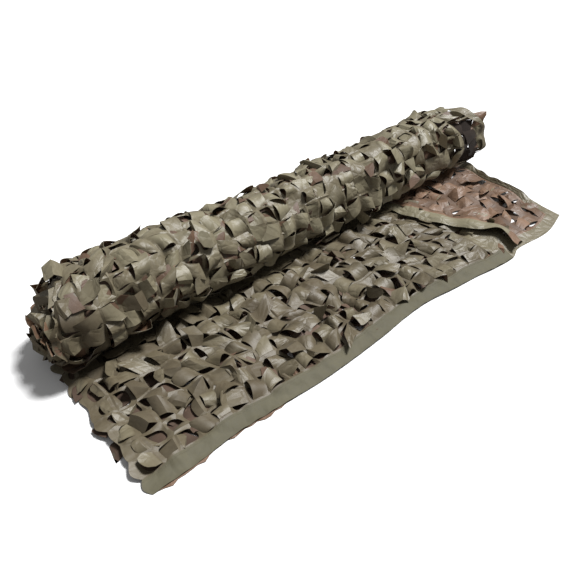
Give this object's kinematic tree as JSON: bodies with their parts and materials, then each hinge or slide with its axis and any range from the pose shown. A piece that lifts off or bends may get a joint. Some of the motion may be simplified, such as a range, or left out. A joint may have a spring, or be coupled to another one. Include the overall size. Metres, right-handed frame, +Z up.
{
  "type": "rolled camouflage net",
  "caption": "Camouflage net folded in two and rolled up, with one end lying open. Green slit cloth, brown inside, with bent tongues and a plain hem.",
  "frame": {"origin": "on the ground, under the middle of the net's bounding box", "axes": "+X along the roll, from the fold of the cloth to its free side edges; +Y from the loose end's front hem to the back of the roll; +Z up"},
  "size_m": [1.5832, 0.6228, 0.2539],
  "materials": {
    "net_green": "satin woven polyester, olive grey-green",
    "net_brown": "satin woven polyester, pinkish brown"
  },
  "bodies": {
    "root": {"net_roll": "net_green", "net_loose_end": "net_green"}
  },
  "joints": []
}
